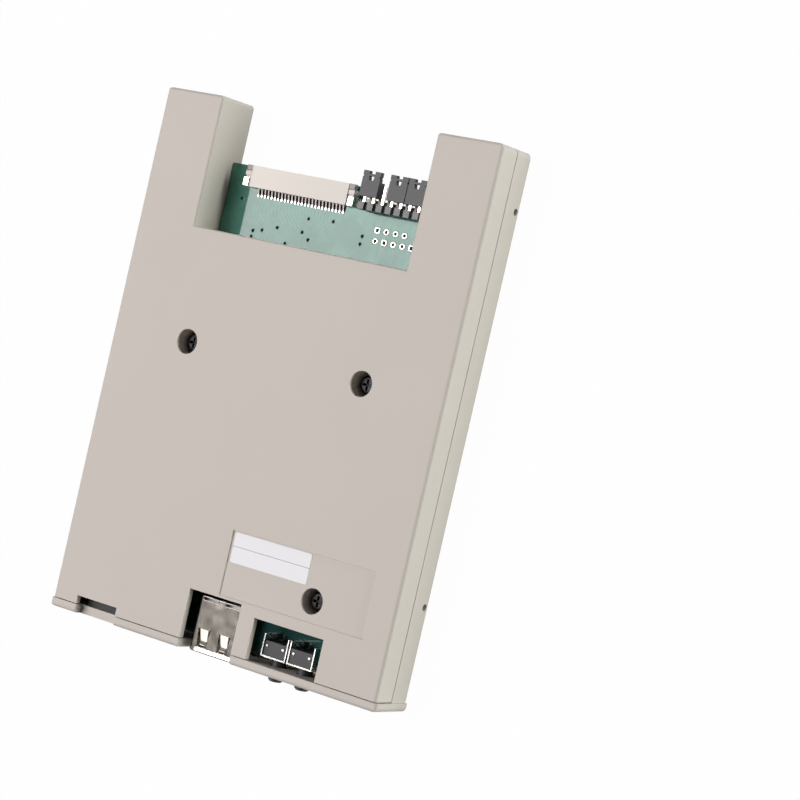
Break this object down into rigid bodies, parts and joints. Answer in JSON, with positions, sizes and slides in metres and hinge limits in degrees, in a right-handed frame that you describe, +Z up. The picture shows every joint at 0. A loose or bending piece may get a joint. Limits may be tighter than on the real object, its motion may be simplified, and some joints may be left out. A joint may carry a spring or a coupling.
{
  "type": "floppy drive emulator",
  "caption": "Slim rectangular two-shell drive emulator with a front USB socket and buttons, and a rear notch that shows a ribbon connector and jumpers.",
  "frame": {"origin": "middle of the flat base under the casing, halfway between the bezel front and the rear ends", "axes": "+Z up from the base, -Y out of the bezel and the USB socket, +Y towards the rear notch, +X to the right seen from the front"},
  "size_m": [0.097, 0.1305, 0.0127],
  "materials": {
    "case_plastic": "warm light grey moulded plastic with a fine matt texture",
    "board": "glass-fibre board under glossy green solder resist",
    "black_screw": "black oxide steel",
    "nickel": "bright nickel-plated sheet",
    "tin": "bright tin plate",
    "gold": "thin gold flash over brass",
    "black_plastic": "black moulded plastic",
    "white_plastic": "white moulded plastic",
    "cream_plastic": "cream moulded plastic",
    "grey_plastic": "light grey moulded plastic",
    "display_face": "black moulded plastic with a smooth face",
    "aluminium_can": "bright drawn can",
    "black_ceramic": "glazed chip",
    "tan_ceramic": "fired chip"
  },
  "bodies": {
    "case": {"bottom_shell": "case_plastic", "top_shell": "case_plastic", "case_screws": "black_screw", "circuit_board": "board", "usb_shell": "nickel", "usb_insulator": "white_plastic", "usb_contacts": "gold", "left_switch_body": "black_plastic", "right_switch_body": "black_plastic", "left_switch_bracket": "nickel", "right_switch_bracket": "nickel", "left_switch_terminals": "nickel", "right_switch_terminals": "nickel", "left_switch_dome": "nickel", "right_switch_dome": "nickel", "display_module": "display_face", "display_leads": "nickel", "ffc_housing": "cream_plastic", "ffc_contacts": "tin", "ffc_solder_tabs": "tin", "header_block": "black_plastic", "header_pins": "tin", "microcontroller": "black_plastic", "microcontroller_leads": "tin", "memory_chip": "black_plastic", "memory_leads": "tin", "voltage_regulator": "black_plastic", "regulator_leads": "tin", "crystal": "nickel", "bulk_capacitor": "aluminium_can", "chip_resistors": "black_ceramic", "chip_capacitors": "tan_ceramic"},
    "left_button": {"left_button": "black_plastic"},
    "right_button": {"right_button": "black_plastic"},
    "lock_bar": {"ffc_lock_bar": "grey_plastic"},
    "jumper_1": {"jumper_cap_1": "black_plastic", "jumper_clip_1": "gold"},
    "jumper_2": {"jumper_cap_2": "black_plastic", "jumper_clip_2": "gold"},
    "jumper_3": {"jumper_cap_3": "black_plastic", "jumper_clip_3": "gold"}
  },
  "joints": [
    {"name": "left_button_press", "type": "slide", "parent": "case", "child": "left_button", "axis": [0, 1, 0], "range_m": [0, 0.00025], "stiffness_N_per_m": 6000},
    {"name": "right_button_press", "type": "slide", "parent": "case", "child": "right_button", "axis": [0, 1, 0], "range_m": [0, 0.00025], "stiffness_N_per_m": 6000},
    {"name": "lock_bar_slide", "type": "slide", "parent": "case", "child": "lock_bar", "axis": [0, 1, 0], "range_m": [0, 0.0015]},
    {"name": "jumper_1_pull", "type": "slide", "parent": "case", "child": "jumper_1", "axis": [0, 1, 0], "range_m": [0, 0.0065]},
    {"name": "jumper_2_pull", "type": "slide", "parent": "case", "child": "jumper_2", "axis": [0, 1, 0], "range_m": [0, 0.0065]},
    {"name": "jumper_3_pull", "type": "slide", "parent": "case", "child": "jumper_3", "axis": [0, 1, 0], "range_m": [0, 0.0065]}
  ]
}
